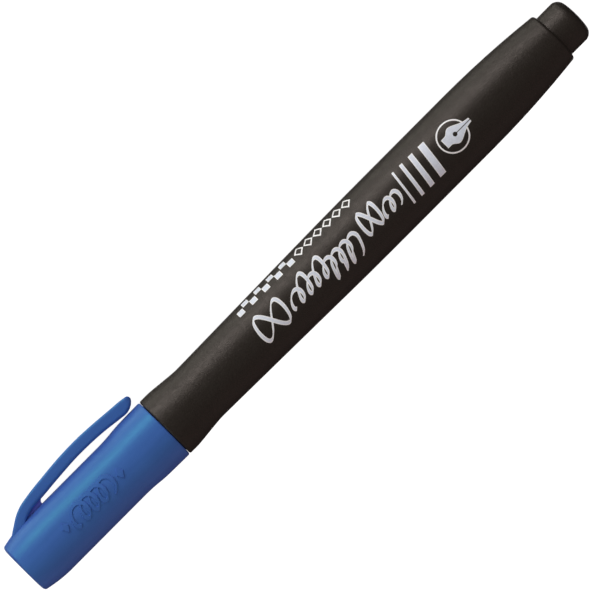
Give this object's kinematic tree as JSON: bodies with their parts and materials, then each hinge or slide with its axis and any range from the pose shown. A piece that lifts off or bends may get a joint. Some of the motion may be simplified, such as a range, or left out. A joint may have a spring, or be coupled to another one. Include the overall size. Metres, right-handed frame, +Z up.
{
  "type": "calligraphy marker",
  "caption": "Capped round marker with a sprung pocket clip, a domed tail plug and a broad flat chisel nib fed by a fibre ink reservoir.",
  "frame": {"origin": "on the table, under the middle of the marker's bounding box as it lies on its side", "axes": "+X along the marker towards the crown of the cap and the nib, the clip points towards -Y and 31 degrees down, +Z up"},
  "size_m": [0.138, 0.0156, 0.0128],
  "materials": {
    "black_plastic": "matt, finely textured moulding",
    "blue_plastic": "satin moulding",
    "liner_plastic": "soft natural polyethylene",
    "nib_fibre": "bonded fibre stained by blue ink",
    "reservoir_fibre": "ink-soaked polyester fibre",
    "clear_film": "thin film wrap",
    "silver_print": "silver hot-stamp and ink print"
  },
  "bodies": {
    "barrel": {"barrel": "black_plastic", "tail_plug": "black_plastic", "nib_holder": "black_plastic", "nib": "nib_fibre", "reservoir_core": "reservoir_fibre", "reservoir_film": "clear_film"},
    "cap": {"cap_shell": "blue_plastic", "inner_cap": "liner_plastic"},
    "clip": {"clip": "blue_plastic"}
  },
  "joints": [
    {"name": "cap_slide", "type": "slide", "parent": "barrel", "child": "cap", "axis": [1, 0, 0], "range_m": [0, 0.04]},
    {"name": "clip_flex", "type": "hinge", "parent": "cap", "child": "clip", "pos_m": [0.0615, -0.00574, 0.00221], "axis": [0, -0.5092, 0.8607], "range_deg": [0, 4], "stiffness_Nm_per_rad": 3.3}
  ]
}
